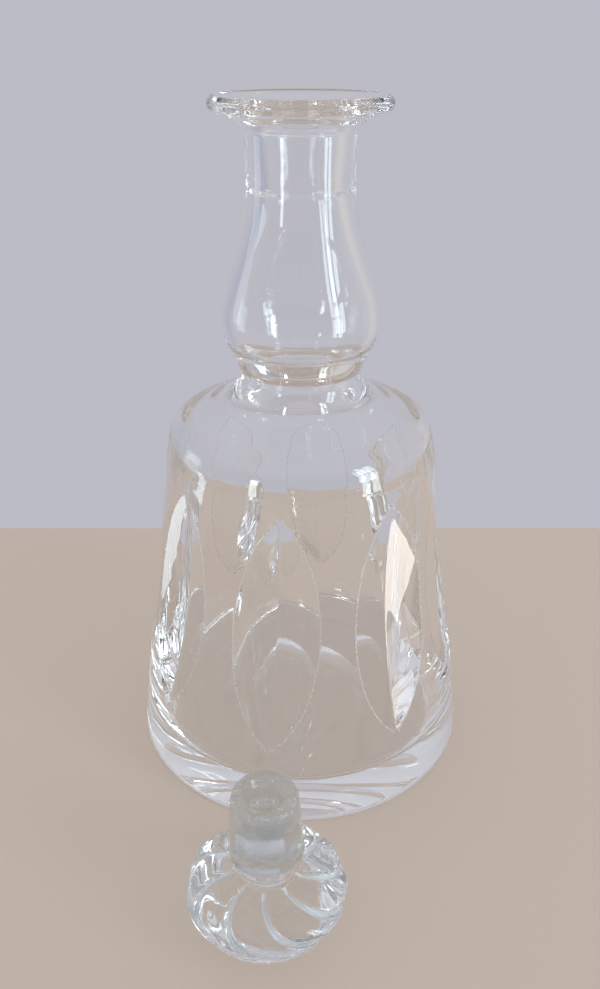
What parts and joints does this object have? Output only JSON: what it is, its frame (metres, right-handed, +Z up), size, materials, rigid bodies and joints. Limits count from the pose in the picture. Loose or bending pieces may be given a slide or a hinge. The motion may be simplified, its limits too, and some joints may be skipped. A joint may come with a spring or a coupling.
{
  "type": "glass decanter with stopper",
  "caption": "Clear crystal decanter with flared lip, bulb neck, leaf-cut conical body and thick base, with a separate solid swirled stopper with a tapered plug.",
  "frame": {"origin": "centre of the bottle's flat base, on the surface it stands on", "axes": "+Z up along the bottle's axis; -Y towards the stopper, which stands in front of the bottle and slightly to the left (-X)"},
  "size_m": [0.129, 0.1929, 0.2353],
  "materials": {
    "crystal": "polished"
  },
  "bodies": {
    "bottle": {"bottle": "crystal"},
    "stopper": {"stopper": "crystal"}
  },
  "joints": [
    {"name": "stopper_lift", "type": "slide", "parent": "bottle", "child": "stopper", "axis": [0, 0, 1], "range_m": [0, 0.25]}
  ]
}
